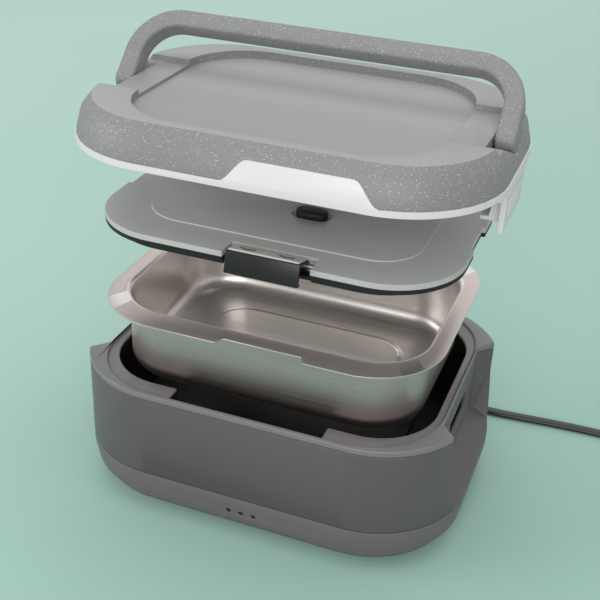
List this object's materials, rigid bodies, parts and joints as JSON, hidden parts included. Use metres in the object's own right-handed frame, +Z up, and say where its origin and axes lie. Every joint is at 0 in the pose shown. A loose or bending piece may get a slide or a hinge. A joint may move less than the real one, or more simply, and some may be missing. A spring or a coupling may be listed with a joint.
{
  "type": "electric lunch box",
  "caption": "Heated lunch box with a steel dish, a clasped sealing lid and a latched carrying lid with a folding handle.",
  "frame": {"origin": "middle of the base, on the surface that the feet stand on", "axes": "+X along the long side towards the end where the cord runs off, +Y to the rear where the cord leaves, +Z up"},
  "size_m": [0.471, 0.276, 0.2808],
  "materials": {
    "tray_plastic": "satin moulded",
    "base_plastic": "satin moulded",
    "rim_plastic": "satin moulded",
    "black_liner": "matt",
    "cast_plate": "cast",
    "steel": "plain",
    "ceramic_white": "glazed",
    "board_green": "lacquered",
    "rubber_black": "soft matt",
    "cord_black": "vinyl",
    "dish_steel": "brushed",
    "sage_plastic": "fine matt",
    "clasp_black": "semi-gloss",
    "clasp_satin": "satin",
    "lid_plastic": "speckled matt",
    "light_plastic": "satin",
    "liner_plastic": "matt",
    "lamp_black": "smoked"
  },
  "bodies": {
    "base": {"base_tray": "tray_plastic", "base_housing": "base_plastic", "rim_ring": "rim_plastic", "well": "black_liner", "heater_plate": "cast_plate", "heater_tube": "steel", "thermostat": "steel", "thermal_fuse": "ceramic_white", "element_clamp": "steel", "control_board": "board_green", "inlet_bush": "rubber_black", "foot_1": "rubber_black", "foot_2": "rubber_black", "foot_3": "rubber_black", "foot_4": "rubber_black", "lamp_1": "lamp_black", "lamp_2": "lamp_black", "lamp_3": "lamp_black", "base_screw_1": "steel", "base_screw_2": "steel", "base_screw_3": "steel", "base_screw_4": "steel", "catch_right": "steel", "catch_left": "steel", "cord": "cord_black", "cord_coil": "cord_black", "cord_tail": "cord_black", "plug_body": "cord_black", "plug_pin_1": "steel", "plug_pin_2": "steel"},
    "dish": {"dish": "dish_steel"},
    "inner_lid": {"inner_lid": "sage_plastic", "inner_seal": "rubber_black", "clasp_pin_front": "steel", "clasp_pin_rear": "steel"},
    "vent": {"vent_plug": "rubber_black"},
    "clasp_front": {"clasp_front": "clasp_black", "clasp_cap_front": "clasp_satin"},
    "clasp_rear": {"clasp_rear": "clasp_black", "clasp_cap_rear": "clasp_satin"},
    "carrying_lid": {"lid_cover": "lid_plastic", "lid_band": "light_plastic", "lid_liner": "liner_plastic", "handle_pin_right": "steel", "handle_pin_left": "steel", "latch_pin_right": "steel", "latch_pin_left": "steel", "lid_screw_1": "steel", "lid_screw_2": "steel", "lid_screw_3": "steel", "lid_screw_4": "steel"},
    "handle": {"handle": "lid_plastic"},
    "latch_right": {"latch_right": "light_plastic"},
    "latch_left": {"latch_left": "light_plastic"}
  },
  "joints": [
    {"name": "dish_lift", "type": "slide", "parent": "base", "child": "dish", "axis": [0, 0, 1], "range_m": [-0.0445, 0.014]},
    {"name": "inner_lid_lift", "type": "slide", "parent": "dish", "child": "inner_lid", "axis": [0, 0, 1], "range_m": [-0.044, 0.004]},
    {"name": "carrying_lid_lift", "type": "slide", "parent": "inner_lid", "child": "carrying_lid", "axis": [0, 0, 1], "range_m": [-0.05, 0.004]},
    {"name": "vent_pull", "type": "slide", "parent": "inner_lid", "child": "vent", "axis": [0, 0, 1], "range_m": [0, 0.003]},
    {"name": "clasp_front_swing", "type": "hinge", "parent": "inner_lid", "child": "clasp_front", "pos_m": [0.008, -0.068, 0.182], "axis": [-1, 0, 0], "range_deg": [-16, 95]},
    {"name": "clasp_rear_swing", "type": "hinge", "parent": "inner_lid", "child": "clasp_rear", "pos_m": [0.008, 0.068, 0.182], "axis": [1, 0, 0], "range_deg": [-16, 95]},
    {"name": "handle_fold", "type": "hinge", "parent": "carrying_lid", "child": "handle", "pos_m": [0, 0, 0.2433], "axis": [1, 0, 0], "range_deg": [-20, 110]},
    {"name": "latch_right_swing", "type": "hinge", "parent": "carrying_lid", "child": "latch_right", "pos_m": [0.1186, 0, 0.2232], "axis": [0, -1, 0], "range_deg": [-12, 75]},
    {"name": "latch_left_swing", "type": "hinge", "parent": "carrying_lid", "child": "latch_left", "pos_m": [-0.1186, 0, 0.2232], "axis": [0, 1, 0], "range_deg": [-12, 75]}
  ]
}
